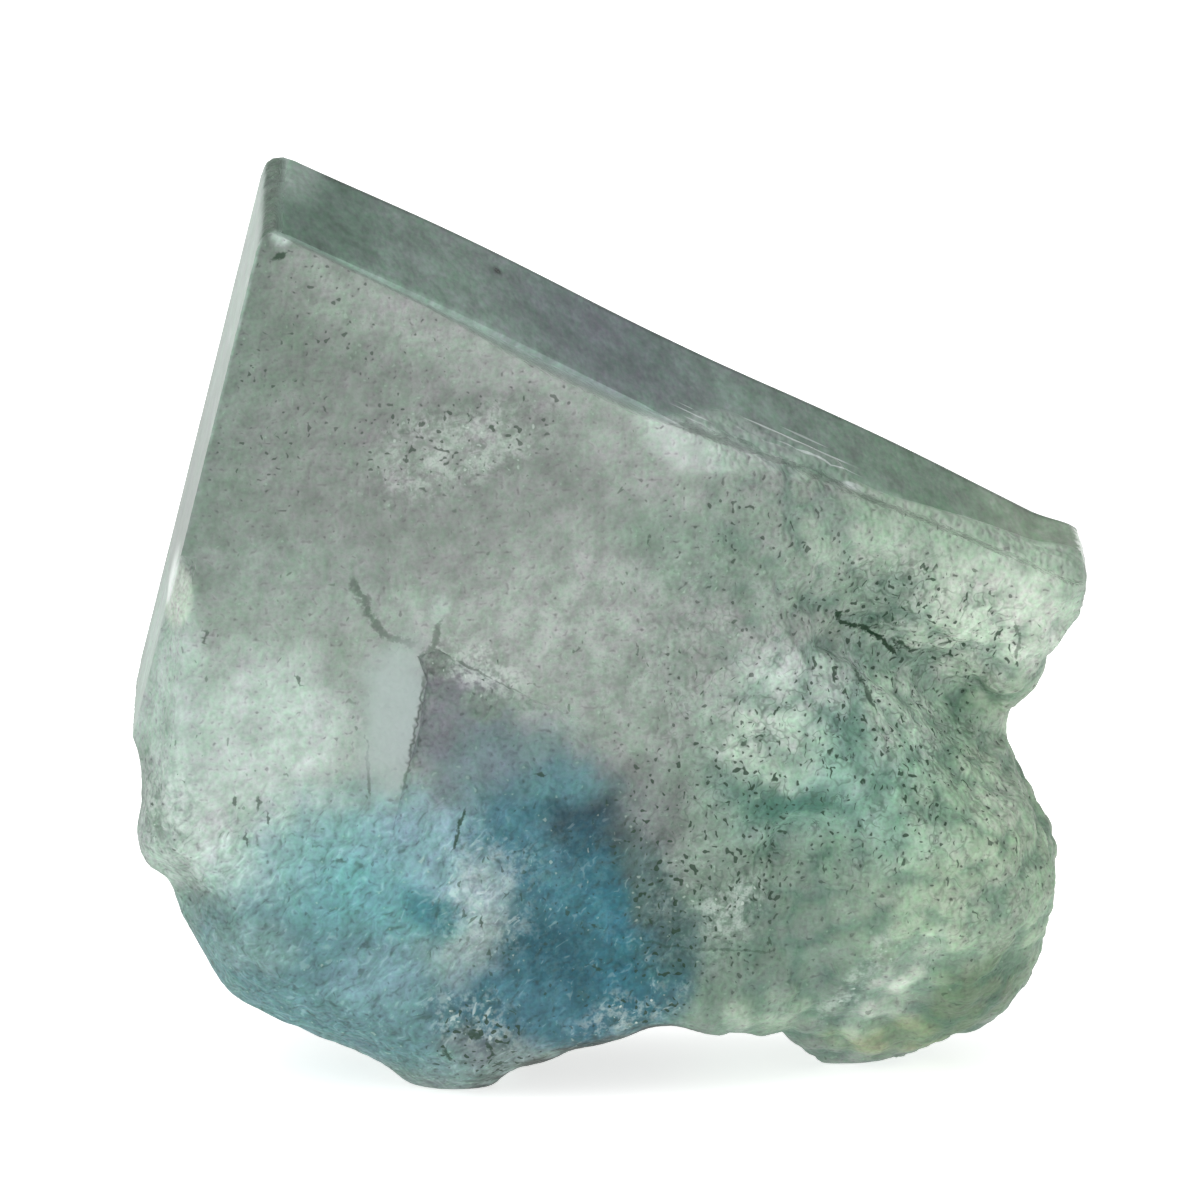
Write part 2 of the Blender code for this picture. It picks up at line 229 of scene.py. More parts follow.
def zone_group():
    """An egg-shaped zone: a strength inside its radii, and a soft edge about them."""
    tree, given = small_group("zone", ("Place", "Middle", "Radii"), ("Turn", "Strength", "Start", "Stop"),
                              ("Inside",))
    place, middle, radii, turn, strength, start, stop = given
    near = tree.vector("SUBTRACT", place, middle)
    near = tree.add("ShaderNodeVectorRotate", {"rotation_type": "Y_AXIS"}, {"Vector": near, "Angle": turn})
    away = tree.vector("LENGTH", tree.vector("DIVIDE", near, radii), output="Value")
    tree.add("NodeGroupOutput", {}, {"Inside": away.ramp(start, stop, 1.0, 0.0) * strength})
    return tree.tree


def segment_group():
    """How far a place lies from a straight segment seen from the front, and on which side."""
    tree, given = small_group("segment", ("Place", "First", "Last"), (), ("Away", "Side"))
    place, first, last = [tree.vector("MULTIPLY", spot, (1.0, 0.0, 1.0)) for spot in given]
    run = tree.vector("SUBTRACT", last, first)
    start = tree.vector("SUBTRACT", place, first)
    along = tree.vector("DOT_PRODUCT", start, run, output="Value")
    share = tree.add("ShaderNodeMath", {"operation": "DIVIDE", "use_clamp": True},
                     {0: along, 1: tree.vector("DOT_PRODUCT", run, run, output="Value")})
    away = tree.vector("DISTANCE", start, tree.scaled(run, share), output="Value")
    across = tree.vector("CROSS_PRODUCT", start, run)
    tree.add("NodeGroupOutput", {}, {"Away": away, "Side": tree.split(across)[1].math("SIGN")})
    return tree.tree


ZONE = zone_group()
SEGMENT = segment_group()


def past_border(x, y):
    """How far a place on the upper right face lies behind the border of its clear part."""
    border = x.ramp(1.2, 6.5, -10.5, -1.4) + x.ramp(11.7, 12.5, 0.0, -2.2) + x.ramp(13.0, 24.0, 0.0, 6.0)
    return y - border


def face_depths(tree, place):
    """Depths under the front, the back, the upper right and the left face."""
    dip = math.radians(RIGHT_FACE_DIP)
    lean = math.radians(LEFT_FACE_LEAN)
    apex = (APEX[0], 0.0, APEX[1])
    return {"front": tree.depth_under(place, (0.0, -HALF_THICKNESS, 0.0), (0.0, -1.0, 0.0)),
            "back": tree.depth_under(place, (0.0, HALF_THICKNESS, 0.0), (0.0, 1.0, 0.0)),
            "right": tree.depth_under(place, apex, (math.sin(dip), 0.0, math.cos(dip))),
            "left": tree.depth_under(place, apex, (-math.cos(lean), 0.0, math.sin(lean)))}


# The stone's own colour. Barite is milky grey-green here with a deep blue heart, and the colour came
# and went while the crystal grew, so it lies in clouds through the stone. The surface reads the
# clouds from its points: each has a colour, a middle, radii, a turn about Y in degrees, a strength.

SHADES = {
    "milk": (132, 145, 136), "tip grey": (102, 116, 106), "left grey": (116, 132, 122),
    "warm grey": (120, 129, 123), "pale grey": (144, 154, 147), "bright milk": (183, 200, 192),
    "mint": (162, 182, 172), "sage": (162, 184, 158), "light sage": (158, 178, 160),
    "moss": (114, 137, 121), "olive": (150, 166, 120), "green grey": (110, 132, 118),
    "teal milk": (110, 158, 159), "teal": (88, 156, 160), "spot teal": (44, 108, 114),
    "blue milk": (124, 158, 168), "slate": (79, 123, 127), "steel": (26, 98, 112),
    "slate blue": (42, 98, 112), "navy": (0, 46, 58), "deep teal": (0, 76, 90),
    "plum grey": (112, 116, 122), "blue grey": (104, 127, 131), "dusk": (102, 106, 106),
    "quartz white": (160, 178, 179), "lilac": (164, 178, 175), "dark teal": (62, 106, 92),
    "lobe teal": (125, 166, 151), "pale": (180, 194, 186), "violet": (100, 108, 118),
    "underside": (44, 52, 47), "dusk green": (58, 88, 84), "top sage": (200, 215, 198),
    "highlight white": (216, 227, 221), "deep moss": (88, 112, 84),
}

CLOUDS = [
    ("tip grey", (-19.3, -8.0, 41.7), (7.9, 30.0, 10.4), 0, 0.95),
    ("left grey", (-20.9, -8.0, 34.6), (4.7, 30.0, 8.2), 0, 0.75),
    ("warm grey", (-8.5, -8.0, 34.1), (11.0, 20.0, 7.0), 0, 0.90),
    ("pale grey", (-5.9, -8.0, 40.6), (5.8, 8.0, 1.6), 24, 0.70),
    ("pale grey", (-13.6, -8.0, 43.8), (4.2, 6.0, 2.0), 22, 0.65),
    ("pale grey", (-8.0, -8.0, 35.4), (3.6, 6.0, 1.2), -15, 0.60),
    ("pale grey", (2.8, -8.0, 36.0), (5.4, 9.0, 3.2), 25, 0.80),
    ("pale", (9.6, -7.0, 34.9), (1.6, 4.0, 1.3), 10, 0.75),
    ("pale grey", (0.6, -8.0, 25.8), (10.5, 14.0, 6.2), 0, 0.85),
    ("milk", (0.4, -8.0, 22.3), (3.6, 8.0, 2.2), 0, 0.85),
    ("green grey", (4.6, -8.0, 29.9), (4.2, 12.0, 2.2), 20, 0.70),
    ("bright milk", (-18.8, -8.0, 19.6), (5.0, 14.0, 4.8), 0, 0.70),
    ("bright milk", (-20.1, -8.0, 13.4), (3.0, 8.0, 1.5), 35, 0.85),
    ("mint", (-23.8, -6.0, 21.0), (2.2, 14.0, 9.0), 0, 0.85),
    ("mint", (-15.6, -8.0, 28.4), (4.0, 12.0, 2.6), 0, 0.15),
    ("moss", (-22.4, -7.0, 9.0), (3.2, 14.0, 3.6), 35, 0.65),
    ("green grey", (-19.6, -7.0, 4.9), (5.2, 14.0, 3.6), 30, 0.70),
    ("green grey", (4.8, -8.0, 14.5), (4.0, 12.0, 5.2), 0, 0.60),
    ("green grey", (9.0, -7.0, 6.8), (7.6, 16.0, 5.4), 0, 0.95),
    ("teal milk", (-12.7, -8.0, 12.0), (6.6, 18.0, 4.8), 0, 0.90),
    ("teal", (-12.2, -8.0, 11.4), (4.0, 9.0, 2.3), 0, 0.60),
    ("slate", (-14.6, -8.0, 5.9), (9.2, 18.0, 4.4), 22, 0.90),
    ("blue milk", (-7.6, -8.0, 13.9), (4.6, 12.0, 3.6), 0, 0.80),
    ("plum grey", (-8.2, -8.0, 20.6), (2.8, 9.0, 3.0), 0, 0.90),
    ("blue grey", (-4.8, -8.0, 18.3), (4.4, 10.0, 2.6), 5, 0.90),
    ("steel", (-3.0, -8.0, 14.2), (4.2, 20.0, 4.2), 0, 0.85),
    ("dusk", (1.0, -8.0, 16.6), (2.2, 9.0, 2.6), 0, 0.60),
    ("navy", (-1.4, -8.0, 15.0), (2.6, 20.0, 1.8), 35, 0.90),
    ("slate", (-2.4, -8.0, 17.8), (2.2, 9.0, 1.0), 10, 0.60),
    ("deep teal", (0.2, -8.0, 12.0), (3.8, 20.0, 1.7), 58, 0.90),
    ("steel", (-0.8, -8.0, 8.6), (4.4, 20.0, 4.2), 0, 0.95),
    ("slate blue", (-3.5, -8.0, 5.4), (5.4, 18.0, 2.9), 0, 0.95),
    ("deep teal", (-2.7, -8.0, 8.0), (2.8, 6.0, 1.8), 20, 0.95),
    ("dusk", (2.2, -8.0, 12.3), (1.4, 12.0, 4.0), 0, 0.60),
    ("quartz white", (-6.7, -8.0, 11.3), (1.7, 4.0, 2.3), 0, 0.60),
    ("quartz white", (-7.4, -8.0, 7.8), (1.6, 4.0, 1.4), -30, 0.20),
    ("spot teal", (-9.8, -8.0, 10.5), (1.8, 3.0, 1.2), 20, 0.90),
    ("dusk", (-6.8, -8.0, 3.0), (2.6, 7.0, 1.2), 0, 0.50),
    ("steel", (1.1, -8.0, 7.6), (4.0, 12.0, 1.9), 60, 0.60),
    ("dusk green", (2.2, -8.0, 11.2), (4.2, 8.0, 1.4), 70, 0.80),
    ("mint", (-19.0, -8.0, 8.6), (1.8, 6.0, 1.6), 0, 0.20),
    ("blue milk", (-12.2, -8.0, 6.8), (2.4, 6.0, 1.6), 0, 0.45),
    ("pale", (5.2, -8.0, 36.0), (4.6, 6.0, 1.2), 25, 0.75),
    ("moss", (-6.6, -8.0, 21.6), (1.5, 5.0, 0.9), 0, 0.70),
    ("sage", (20.0, -5.0, 13.5), (7.4, 18.0, 9.0), 0, 0.90),
    ("lobe teal", (12.6, -8.0, 18.4), (6.4, 12.0, 5.2), 0, 0.75),
    ("dark teal", (9.6, -8.0, 16.8), (3.0, 6.0, 1.0), 4, 1.00),
    ("moss", (12.4, -8.0, 12.6), (4.0, 8.0, 3.0), 0, 0.50),
    ("green grey", (12.0, -8.0, 13.4), (1.6, 6.0, 1.2), 0, 0.50),
    ("light sage", (19.0, -2.5, 28.4), (9.5, 12.0, 5.4), 8, 0.95),
    ("moss", (14.8, -3.5, 26.1), (3.9, 8.0, 1.6), 24, 0.95),
    ("top sage", (20.4, -1.5, 25.4), (4.4, 8.0, 2.9), 25, 0.90),
    ("pale", (9.9, -7.0, 23.0), (3.0, 6.0, 1.6), 20, 0.85),
    ("top sage", (17.8, -3.0, 23.2), (2.4, 8.0, 1.8), 35, 0.45),
    ("green grey", (8.8, -7.0, 27.6), (2.4, 8.0, 1.6), 0, 0.40),
    ("sage", (8.2, -7.0, 4.4), (3.0, 8.0, 1.4), 0, 0.35),
    ("top sage", (20.6, -3.0, 17.0), (1.6, 6.0, 2.4), 0, 0.50),
    ("top sage", (8.0, -8.0, 19.8), (2.6, 6.0, 2.2), 0, 0.50),
    ("top sage", (15.4, -4.0, 20.6), (2.6, 6.0, 2.2), 40, 0.60),
    ("moss", (20.6, -5.0, 10.2), (2.2, 8.0, 2.4), 0, 0.40),
    ("moss", (6.8, -8.0, 12.2), (1.8, 8.0, 1.6), 0, 0.40),
    ("sage", (17.8, -6.0, 16.6), (2.2, 8.0, 2.0), 0, 0.50),
    ("left grey", (-22.4, -8.0, 32.8), (1.6, 8.0, 3.0), 14, 0.50),
    ("olive", (15.0, -3.0, 2.2), (3.2, 8.0, 1.4), 0, 0.65),
    ("deep moss", (19.0, -4.0, 5.0), (3.6, 8.0, 2.2), -44, 0.90),
    ("pale", (-10.3, -8.0, 27.0), (1.7, 3.0, 0.85), -12, 0.30),
    ("bright milk", (-9.2, -8.0, 27.1), (0.55, 3.0, 0.85), 25, 0.45),
    ("bright milk", (-17.7, -8.0, 47.2), (0.8, 1.0, 0.5), 20, 0.95),
    ("left grey", (-24.4, -7.0, 17.0), (1.0, 8.0, 2.6), 0, 0.60),
    # The back is guessed.
    ("teal milk", (4.0, 8.0, 14.0), (9.0, 6.0, 7.0), 20, 0.70),
    ("steel", (-6.0, 8.0, 11.0), (6.0, 6.0, 5.0), -20, 0.70),
    ("mint", (-14.0, 8.0, 27.0), (8.0, 6.0, 7.0), 30, 0.60),
    ("tip grey", (2.0, 8.0, 32.0), (9.0, 6.0, 4.0), 20, 0.70),
    ("moss", (15.0, 8.0, 22.0), (6.0, 6.0, 5.0), -30, 0.60),
    ("bright milk", (-2.0, 8.0, 23.0), (4.0, 5.0, 3.0), 20, 0.50),
]

# Smooth chips with crisp rims, paler than the stone around them.
CHIP_SOFTNESS = 0.15
CHIPS = [
    ((15.9, -5.0, 7.4), (2.4, 8.0, 1.0), -47, 0.45), ((14.0, -5.0, 4.6), (2.7, 8.0, 1.3), -60, 0.35),
    ((12.8, -5.0, 3.4), (1.8, 8.0, 0.7), -60, 0.30), ((6.5, -7.0, 4.3), (0.7, 6.0, 1.1), -20, 0.28),
    ((8.7, -7.0, 4.3), (0.6, 6.0, 1.0), -20, 0.25), ((9.7, -7.0, 35.0), (0.9, 6.0, 0.6), 20, 0.45),
    # The last chip is a painted highlight by the left edge.
    ((-22.8, -8.0, 27.4), (0.8, 6.0, 1.7), 12, 0.60),
]

# Bands of painted shade in the valley and down the lobe's right side, where it turns away. Each one:
# its shade, its half width, its strength and its points in X and Z.
SHADE_BANDS = [
    ("dark teal", 1.0, 0.25,
     [(12.6, 24.6), (14.1, 23.2), (15.6, 22.0), (17.1, 20.7), (18.5, 19.4), (20.2, 18.0)]),
    ("moss", 1.2, 0.40, [(20.8, 17.6), (22.2, 15.6), (23.2, 13.5), (23.6, 11.0)]),
]

# Where dark specks crowd, where hair cracks run, and where white bits lie.
SPECKLED = [
    ((4.8, -8.0, 14.0), (5.6, 14.0, 7.5), 0, 1.00), ((9.0, -7.0, 29.0), (7.5, 12.0, 3.4), 25, 0.70),
    ((-8.5, -8.0, 36.5), (6.5, 10.0, 2.6), -10, 0.65), ((-18.5, -8.0, 37.5), (3.5, 10.0, 5.0), 0, 0.60),
    ((-13.5, -8.0, 42.3), (6.5, 10.0, 2.6), 24, 0.55), ((15.0, -2.5, 24.6), (6.5, 10.0, 3.2), 30, 1.00),
    ((13.0, -8.0, 18.0), (9.0, 14.0, 8.0), 0, 0.45), ((-2.4, -8.0, 9.6), (5.0, 8.0, 7.5), 0, 0.50),
    ((-6.8, -8.0, 3.0), (3.0, 6.0, 2.2), 0, 1.60), ((1.4, -8.0, 5.2), (3.0, 6.0, 1.2), -18, 1.20),
    ((3.2, -8.0, 11.0), (2.2, 8.0, 5.0), 0, 1.30),
]
CRACKED = [
    ((-8.0, -8.0, 36.0), (4.5, 8.0, 2.2), -15, 0.6), ((13.5, -7.0, 18.6), (9.0, 12.0, 7.0), 0, 1.0),
    ((17.0, -2.0, 25.2), (6.5, 9.0, 3.4), 25, 1.0), ((6.0, -8.0, 22.5), (4.5, 9.0, 5.5), 0, 0.6),
    ((-6.4, -8.0, 11.2), (2.6, 4.0, 3.6), 0, 0.45), ((5.2, -8.0, 13.0), (3.6, 8.0, 6.0), 0, 0.7),
    ((19.0, -4.0, 12.0), (5.0, 9.0, 6.0), 0, 0.7),
]
WHITE = [
    ((-8.0, -8.0, 35.6), (4.5, 8.0, 2.0), -15, 0.50), ((-6.4, -8.0, 11.2), (2.8, 6.0, 3.6), 0, 0.45),
    ((-2.6, -8.0, 11.0), (5.0, 8.0, 6.0), 0, 0.08), ((1.5, -8.0, 25.5), (9.0, 8.0, 4.5), 0, 0.15),
    ((-7.0, -8.0, 23.8), (2.6, 6.0, 1.4), 28, 1.0), ((-7.0, -8.0, 4.3), (2.6, 6.0, 1.7), 20, 0.80),
    ((0.6, -8.0, 5.2), (3.0, 6.0, 1.0), -18, 0.80), ((3.8, -8.0, 10.8), (2.2, 8.0, 4.0), 0, 0.25),
    ((-23.0, -7.0, 16.5), (1.5, 6.0, 3.0), 0, 0.8), ((17.0, -2.0, 25.4), (6.5, 9.0, 2.6), 30, 0.30),
    ((13.0, -5.0, 6.2), (3.4, 8.0, 0.6), -53, 0.6), ((6.0, -8.0, 10.4), (2.0, 6.0, 1.6), 0, 0.8),
]

# Each dark mark on the front: its half width, its strength and its points in X and Z. The first
# ones are cracks, and the short ones are single specks.
MARKS = [
    (0.17, 1.0, [(11.8, 25.9), (12.1, 25.3), (13.4, 24.7), (14.2, 24.0), (14.7, 23.2)]),
    (0.16, 0.85, [(15.1, 23.9), (15.6, 23.3)]),
    (0.34, 0.55, [(-13.5, 28.3), (-12.9, 27.5), (-12.6, 26.6), (-12.0, 25.7), (-10.6, 25.2)]),
    (0.30, 0.45, [(-9.0, 26.2), (-9.3, 25.2), (-9.8, 24.4)]),
    (0.12, 0.40, [(-9.0, 24.7), (-7.2, 23.7), (-4.8, 22.5)]),
    (0.13, 0.85, [(-7.7, 15.9), (-8.0, 15.2), (-8.3, 14.1)]),
    (0.12, 0.60, [(-12.8, 19.9), (-12.8, 18.2), (-12.7, 17.2)]),
    (0.16, 0.60, [(21.2, 24.6), (21.5, 23.5), (21.3, 22.9)]),
    (0.15, 0.75, [(12.8, 22.6), (13.5, 21.6), (13.7, 21.1)]),
    (0.09, 0.40, [(8.2, 8.2), (4.0, 8.5), (1.9, 8.8)]),
    (0.34, 1.00, [(11.8, 25.9), (12.0, 25.7)]),
    (0.26, 0.85, [(-17.3, 46.0), (-17.1, 46.1)]),
    (0.30, 0.70, [(-14.4, 13.4), (-14.2, 13.4)]),
    (0.20, 0.70, [(-21.3, 25.6), (-21.3, 25.5)]),
    (0.16, 0.70, [(-16.5, 23.3), (-16.4, 23.1)]),
    (0.15, 0.70, [(-19.8, 16.7), (-19.8, 16.6)]),
    (0.15, 0.70, [(-18.5, 16.5), (-18.5, 16.4)]),
    (0.15, 0.70, [(-18.0, 15.7), (-18.0, 15.6)]),
    (0.15, 0.70, [(-19.2, 14.6), (-19.2, 14.5)]),
    (0.16, 0.80, [(-3.8, 17.9), (-3.6, 17.9)]),
    (0.18, 0.80, [(-1.0, 9.9), (-0.8, 9.8)]),
    (0.18, 0.80, [(-1.0, 7.6), (-0.8, 7.5)]),
    (0.15, 0.80, [(-6.9, 10.1), (-6.9, 10.0)]),
    (0.26, 0.80, [(-7.4, 3.9), (-7.1, 3.8)]),
    (0.20, 0.80, [(-6.4, 3.2), (-6.3, 3.0)]),
    (0.24, 0.80, [(-8.7, 2.9), (-8.6, 2.7)]),
    (0.22, 0.80, [(-6.0, 2.1), (-5.8, 2.1)]),
]


def linear(red, green, blue):
    """A colour on the eye's scale of 0 to 255 as the renderer's linear values."""
    shares = [value / 255.0 for value in (red, green, blue)]
    return tuple(v / 12.92 if v <= 0.04045 else ((v + 0.055) / 1.055) ** 2.4 for v in shares) + (1.0,)


# How far drifts push the clouds' edges about, and how far mottling swings between green and grey.
NOISE_MIDDLE = (0.5, 0.5, 0.5)
BROAD_DRIFT = 4.5
FINE_DRIFT = 1.5
DRIFT_REACH = 2.6
MOTTLE_SIZE = 1.4
HUE_SWING = (0.42, 0.0, 0.34)
HUE_START = (0.79, 1.0, 0.83)


def drifted(tree, place):
    """Places pushed about by broad and fine drifts, which gives the clouds ragged edges."""
    broad = tree.vector("SUBTRACT", tree.noise(place, BROAD_DRIFT, 2.0, 0.5, colour=True), NOISE_MIDDLE)
    fine = tree.vector("SUBTRACT", tree.noise(place, FINE_DRIFT, 4.0, 0.65, colour=True), NOISE_MIDDLE)
    place = tree.vector("ADD", place, tree.scaled(broad, DRIFT_REACH))
    return tree.vector("ADD", place, tree.scaled(fine, DRIFT_REACH))


def from_segment(tree, place, first, last):
    """How far a place lies from a segment in X and Z, and on which side."""
    values = {"Place": place, "First": (first[0], 0.0, first[1]), "Last": (last[0], 0.0, last[1])}
    away = tree.add("GeometryNodeGroup", {"node_tree": SEGMENT}, values)
    return away, tree.other(away, "Side")


def near_line(tree, place, points, width):
    """1 on a line of X, Z points and 0 a width away from it."""
    nearest = None
    for first, last in zip(points, points[1:]):
        away, _ = from_segment(tree, place, first, last)
        nearest = away if nearest is None else nearest.smaller(away)
    return nearest.ramp(width * 0.35, width, 1.0, 0.0)


def nearest_mark(tree, place):
    """The distance to the nearest mark, with a sign for its side, then its half width and strength."""
    nearest = None
    for new_width, new_strength, points in MARKS:
        for first, last in zip(points, points[1:]):
            away, side = from_segment(tree, place, first, last)
            if nearest is None:
                nearest, offset, width, strength = away, away * side, new_width, new_strength
                continue
            closer = nearest.math("GREATER_THAN", away)
            nearest = nearest.smaller(away)
            offset = tree.picked(closer, offset, away * side)
            width = tree.picked(closer, width, new_width)
            strength = tree.picked(closer, strength, new_strength)
    near = nearest.ramp(0.24, 0.42, 1.0, 0.0)
    return tree.add("ShaderNodeCombineXYZ", {}, {0: offset, 1: width, 2: strength * near})


def stone_habit(tree, bent):
    """How speckled, how cracked and how white the stone is."""
    amounts = []
    for zones in (SPECKLED, CRACKED, WHITE):
        amount = None
        for middle, radii, turn, strength in zones:
            here = tree.zone(bent, middle, radii, turn, strength)
            amount = here if amount is None else amount.larger(here)
        amounts.append(amount)
    return amounts


def mottled(tree, colour, mottle, hue):
    """Mottling by a factor of brightness, and faintly in hue between green and grey."""
    tint = tree.vector("MULTIPLY_ADD", hue, HUE_SWING, HUE_START)
    return tree.scaled(tree.vector("MULTIPLY", colour, tint), mottle)


EDGE_GREEN = (100, 118, 107)


def stone_colour(tree, place, near, bent, depths):
    """The colour clouds, laid one over another, then the bands of painted shade and the crisp chips."""
    colour = linear(*SHADES["milk"])
    for shade, middle, radii, turn, strength in CLOUDS:
        cover = tree.zone(bent, middle, radii, turn, strength)
        colour = tree.mixed(cover, colour, linear(*SHADES[shade]))
    _, y, z = tree.split(place)
    front_half = y.ramp(0.0, 4.0, 1.0, 0.0)
    # Painted shade along the valley and down the lobe's right side.
    for shade, width, strength, points in SHADE_BANDS:
        cover = near_line(tree, bent, points, width) * strength * front_half
        colour = tree.mixed(cover, colour, linear(*SHADES[shade]))
    for middle, radii, turn, strength in CHIPS:
        cover = tree.zone(near, middle, radii, turn, strength, CHIP_SOFTNESS)
        colour = tree.mixed(cover, colour, linear(*SHADES["top sage"]))
    # The edge by the left face looks deeper.
    by_edge = depths["left"].ramp(0.2, 1.5, 1.0, 0.0) * z.ramp(27.0, 30.0)
    return tree.mixed(by_edge * 0.5, colour, linear(*EDGE_GREEN))


# The clear faces' own colours, and the zones on them: a middle, radii, a turn, a strength, softness.
STRIP_GREY = (128, 149, 140)
TIP_GREEN = (97, 124, 110)
STRIP_GREEN = (119, 146, 127)
STRIP_END = (150, 171, 150)
LEFT_MINT = (132, 152, 141)
TIP = ((-15.6, 0.0, 45.0), (3.5, 14.0, 5.0))
VIOLET = ((-0.4, 2.0, 39.2), (5.4, 12.0, 4.5), RIGHT_FACE_DIP, 0.9, 0.70)
FAR_SPECK = ((-6.05, 4.2, 41.9), (0.28, 0.7, 0.5), 0.0, 0.9)
ROUND_TIP = ((-17.3, 8.0, 47.2), (2.0, 8.0, 1.2), RIGHT_FACE_DIP)
LEFT_HIGHLIGHT = ((-23.2, -6.0, 27.2), (1.4, 5.0, 2.0))


def face_colour(tree, place, depths):
    """The flat prism faces' colours: clear and darker on the upper right; pale on the left, with painted
    light and shade.
    """
    x, y, z = tree.split(place)
    seen = tree.vector("MULTIPLY", place, (1.0, 0.3, 1.0))
    mottle, hue, _ = tree.split(tree.noise(seen, MOTTLE_SIZE, 2.0, 0.65, colour=True))
    colour = tree.mixed(tree.zone(place, *TIP) * 0.8, linear(*STRIP_GREY), linear(*TIP_GREEN))
    colour = tree.mixed(tree.zone(place, *VIOLET) * 0.7, colour, linear(*SHADES["violet"]))
    colour = tree.mixed(x.ramp(6.0, 18.0), colour, linear(*STRIP_GREEN))
    colour = tree.mixed(x.ramp(17.0, 22.0), colour, linear(*STRIP_END))
    colour = mottled(tree, colour, 0.40 + 1.2 * mottle, hue)
    far_edge = y.ramp(7.2, 7.9, 0.0, 0.45)
    dark = far_edge.larger(tree.zone(place, *FAR_SPECK))
    colour = tree.mixed(dark, colour, linear(*SHADES["underside"]))
    colour = tree.mixed(tree.zone(place, *ROUND_TIP) * 0.8, colour, linear(*SHADES["mint"]))
    # Painted light and shade: the left face is lighter toward its top and darker lower down.
    shade = (0.6 + 0.8 * mottle) * z.ramp(29.0, 43.0, 0.66, 1.05)
    left = mottled(tree, linear(*LEFT_MINT)[:3], shade, hue)
    # Painted highlight: a white patch where the left face shines.
    left = tree.mixed(tree.zone(place, *LEFT_HIGHLIGHT) * 0.9, left, linear(*SHADES["highlight white"]))
    return tree.mixed((depths["right"] - depths["left"]).ramp(-0.1, 0.1), colour, left)


FACET = ((-11.2, -8.0, 21.2), (2.0, 3.0, 3.8), 4)
WAVE_SIZE = 0.8


def painted_overhang_shade(tree, place, mottle):
    """How far a place faces the table under the jutting front, where the colour gets painted shade."""
    x, _, z = tree.split(place)
    facing_up = tree.split(tree.add("GeometryNodeInputNormal", {}, {}))[2]
    facing_down = (facing_up + 0.5 * (mottle - 0.5)).ramp(-0.90, -0.70, 0.9, 0.0)
    between_feet = x.ramp(-9.0, -6.0) * x.ramp(3.0, 6.0, 1.0, 0.0)
    return facing_down * between_feet * z.ramp(5.0, 6.0, 1.0, 0.0)


def store_paint(tree, skin, place, depths, broken, between):
    """Stores the stone's colours, with painted shade, and its habits on the points of its skin."""
    bent = drifted(tree, place)
    mottles = tree.noise(place, MOTTLE_SIZE, 2.0, 0.65, colour=True)
    mottle, hue, _ = tree.split(mottles)
    crowd, cracked, white = stone_habit(tree, bent)
    lively = crowd.larger(cracked).larger(white).smaller(1.0)
    waves = tree.vector("SUBTRACT", tree.noise(place, WAVE_SIZE, 1.0, 0.6, colour=True), NOISE_MIDDLE)
    near = tree.vector("ADD", place, tree.scaled(waves, 0.2))
    wavy = tree.vector("ADD", place, tree.scaled(waves, 0.5))
    stone = stone_colour(tree, place, near, bent, depths)
    stone = mottled(tree, stone, 1.0 + (mottle - 0.5) * (0.90 + 0.15 * lively), hue)
    # Painted shade: the gullies between the knobs are darkened toward dark teal.
    stone = tree.mixed(between * broken * 0.45, stone, linear(*SHADES["dark teal"]))
    # Painted shade: what faces the table under the front, between the feet, is darkened toward the underside
    # colour.
    stone = tree.mixed(painted_overhang_shade(tree, place, mottle), stone, linear(*SHADES["underside"]))
    x, y, z = tree.split(place)
    clear_right = depths["right"].ramp(0.02, 0.5, 1.0, 0.0) * past_border(x, y).ramp(-0.4, 0.0)
    clear = clear_right.larger(depths["left"].ramp(0.02, 0.3, 1.0, 0.0) * z.ramp(26.0, 27.0))
    uneven = (0.3 + 0.7 * broken) * (1.0 - 0.95 * clear)
    habit = tree.add("ShaderNodeCombineXYZ", {}, {0: crowd, 1: cracked, 2: white})
    stored_fields = {
        "stone": ("FLOAT_COLOR", stone), "face": ("FLOAT_COLOR", face_colour(tree, place, depths)),
        "habit": ("FLOAT_VECTOR", habit), "growth": ("FLOAT_VECTOR", mottles),
        "mark": ("FLOAT_VECTOR", nearest_mark(tree, wavy)), "uneven": ("FLOAT", uneven),
        "facet": ("FLOAT", tree.zone(bent, *FACET)),
    }
    for name, (kind, value) in stored_fields.items():
        skin = tree.add("GeometryNodeStoreNamedAttribute", {"data_type": kind, "domain": "POINT"},
                        {"Geometry": skin, "Name": name, "Value": value})
    return skin


# Growth and breakage, raised on the skin by Geometry Nodes: broken surfaces lose the solid's
# facets and gain lumps, hackles and cleavage steps, and flat faces gain faint growth steps.

RELIEF_SIZES = {
    "Lump Height": 0.22, "Lump Size": 3.4, "Hackle Height": 0.16, "Hackle Size": 1.5,
    "Knob Height": 0.34, "Knob Size": 1.3, "Step Height": 0.10, "Step Spacing": 1.1,
    "Ridge Height": 0.08, "Ridge Spacing": 0.75, "Growth Wave": 0.03, "Groove Depth": 0.40,
}
VALLEY_LINE = [(11.9, 25.2), (13.3, 24.4), (15.0, 22.9), (16.8, 21.2), (18.4, 19.6), (20.4, 18.2)]

# Broad swellings in the growth and the breaks: a middle, radii, a turn about Y and a height.
BULGES = {
    "upper growth": ((-7.5, 0.0, 42.8), (6.0, 20.0, 6.0), 0, 0.28),
    "lower growth": ((14.5, 0.0, 31.8), (6.5, 20.0, 6.0), 0, 0.28),
    "shoulder": ((24.4, 0.0, 26.8), (1.6, 9.0, 1.5), 0, 0.60),
    "terrace dip": ((24.0, 0.0, 24.9), (1.2, 9.0, 1.0), 0, -0.40),
    "terrace foot": ((21.4, 0.0, 20.4), (1.4, 9.0, 1.4), 0, 0.45),
    "lobe foot": ((18.6, -3.0, 3.2), (3.6, 8.0, 2.6), 0, 0.85),
    "worn edge": ((18.0, -7.0, 30.2), (6.0, 3.0, 1.2), 26, -0.20),
}

